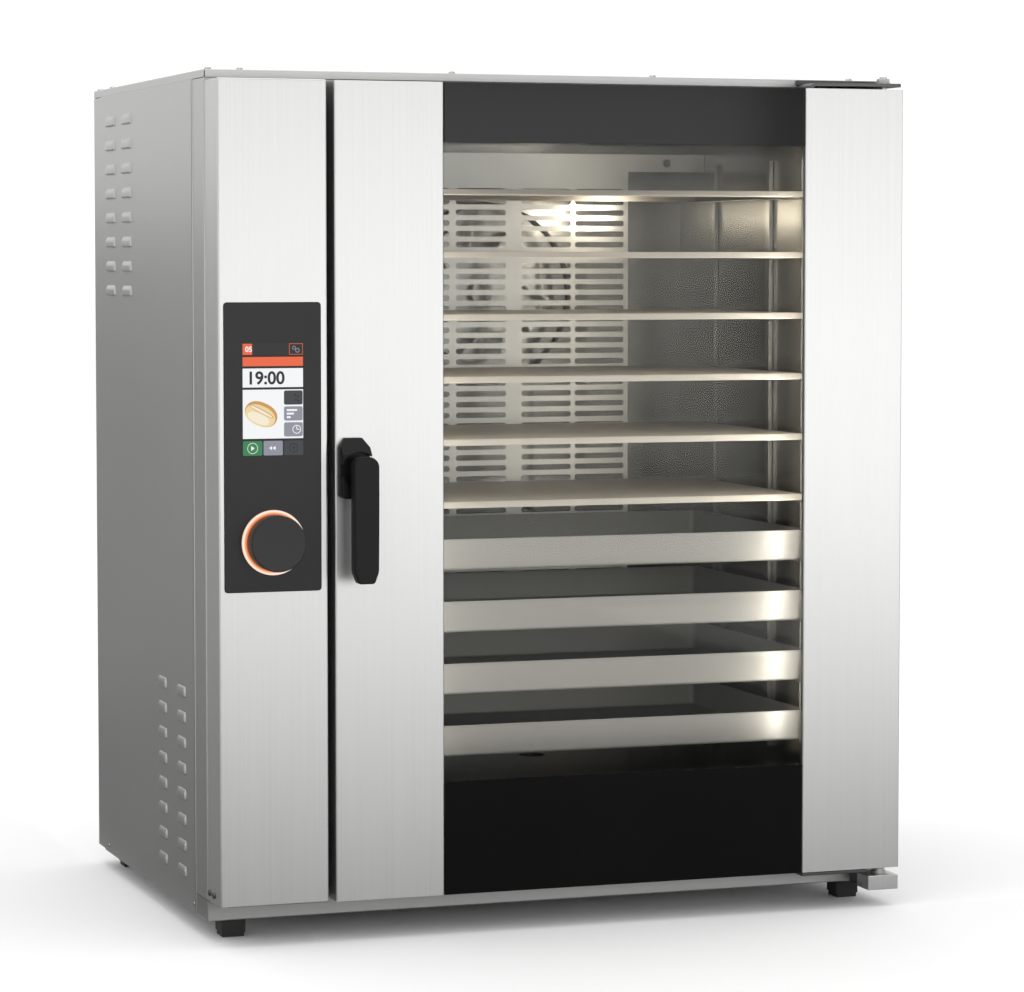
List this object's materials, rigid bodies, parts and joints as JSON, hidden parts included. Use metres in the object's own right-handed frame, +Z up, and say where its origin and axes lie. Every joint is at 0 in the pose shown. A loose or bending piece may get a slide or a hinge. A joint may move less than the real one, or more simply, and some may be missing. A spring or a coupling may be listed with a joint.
{
  "type": "combi steamer oven",
  "caption": "Upright stainless steel combi steamer oven with a full-height glass door, side control column with display and knob, tray racks, fans, steam and drain fittings.",
  "frame": {"origin": "under the middle of the whole oven, on the plane of the foot soles", "axes": "+X to the right seen from the front, +Y to the back (the door faces -Y), +Z up"},
  "size_m": [0.939, 0.7736, 1.126],
  "materials": {
    "brushed_steel": "vertical brushed stainless steel",
    "side_steel": "satin stainless steel sheet",
    "cavity_steel": "bright stainless steel inside the cavity",
    "tray_metal": "drawn aluminium",
    "fitting_steel": "turned and cut stainless steel",
    "dark_steel": "dark coated steel",
    "black_plastic": "fine grained black plastic",
    "control_glass": "black printed control glass",
    "glow_plastic": "lit translucent light guide",
    "clear_glass": "toughened glass with black printed borders",
    "lamp_cover": "lit warm white lamp cover",
    "black_rubber": "moulded black rubber",
    "mineral_wool": "pressed mineral wool",
    "circuit_board": "green circuit board with black parts",
    "brass": "cast brass"
  },
  "bodies": {
    "housing": {"base_tray": "brushed_steel", "cable_gland": "black_plastic", "cavity_liner": "cavity_steel", "control_board": "circuit_board", "control_fascia": "brushed_steel", "control_glass": "control_glass", "deep_tray_1": "tray_metal", "deep_tray_2": "tray_metal", "deep_tray_3": "tray_metal", "deep_tray_4": "tray_metal", "display_module": "black_plastic", "door_gasket": "black_rubber", "drain_pipe": "fitting_steel", "encoder_body": "black_plastic", "exhaust_collar": "fitting_steel", "fan_motor_lower": "dark_steel", "fan_motor_upper": "dark_steel", "flat_tray_1": "tray_metal", "flat_tray_2": "tray_metal", "flat_tray_3": "tray_metal", "flat_tray_4": "tray_metal", "flat_tray_5": "tray_metal", "flat_tray_6": "tray_metal", "foot_front_left": "black_rubber", "foot_front_right": "black_rubber", "foot_rear_left": "black_rubber", "foot_rear_right": "black_rubber", "front_frame": "brushed_steel", "glow_ring": "glow_plastic", "heater_lower": "dark_steel", "heater_upper": "dark_steel", "hinge_bracket_bottom": "fitting_steel", "hinge_bracket_top": "dark_steel", "hinge_pin_top": "fitting_steel", "insulation_jacket": "mineral_wool", "left_side_panel": "side_steel", "rack_left": "cavity_steel", "rack_right": "cavity_steel", "rear_baffle": "cavity_steel", "rear_cover": "side_steel", "right_side_panel": "side_steel", "steam_pipe": "cavity_steel", "strike": "fitting_steel", "top_cover": "brushed_steel", "water_inlet_valve": "brass"},
    "door": {"door_left_stile": "brushed_steel", "door_right_stile": "brushed_steel", "door_back_frame": "cavity_steel", "door_outer_glass": "clear_glass", "door_inner_glass": "clear_glass", "lamp_strip_left": "lamp_cover", "lamp_strip_right": "lamp_cover", "handle_base": "black_plastic"},
    "latch_handle": {"handle_lever": "black_plastic", "latch_spindle": "fitting_steel"},
    "knob_shaft": {"encoder_shaft": "fitting_steel"},
    "knob_cap": {"knob": "black_plastic"},
    "fan_wheel_upper": {"fan_upper": "fitting_steel"},
    "fan_wheel_lower": {"fan_lower": "fitting_steel"},
    "damper": {"exhaust_damper": "fitting_steel"}
  },
  "joints": [
    {"name": "door_hinge", "type": "hinge", "parent": "housing", "child": "door", "pos_m": [0.4505, -0.31325, 0.57], "axis": [0, 0, 1], "range_deg": [0, 130]},
    {"name": "door_latch_lever", "type": "hinge", "parent": "door", "child": "latch_handle", "pos_m": [-0.288, -0.33675, 0.6], "axis": [0, -1, 0], "range_deg": [0, 90]},
    {"name": "exhaust_damper_turn", "type": "hinge", "parent": "housing", "child": "damper", "pos_m": [0.2245, 0.21675, 1.07], "axis": [1, 0, 0], "range_deg": [0, 90]},
    {"name": "fan_lower_spin", "type": "hinge", "parent": "housing", "child": "fan_wheel_lower", "pos_m": [0.0775, 0.25875, 0.395], "axis": [0, 1, 0], "continuous": true},
    {"name": "fan_upper_spin", "type": "hinge", "parent": "housing", "child": "fan_wheel_upper", "pos_m": [0.0775, 0.25875, 0.815], "axis": [0, 1, 0], "continuous": true},
    {"name": "knob_press", "type": "slide", "parent": "housing", "child": "knob_shaft", "axis": [0, 1, 0], "range_m": [0, 0.0015], "stiffness_N_per_m": 1500, "springref_m": -0.001},
    {"name": "knob_turn", "type": "hinge", "parent": "knob_shaft", "child": "knob_cap", "pos_m": [-0.395, -0.35325, 0.5106], "axis": [0, 1, 0], "continuous": true}
  ]
}
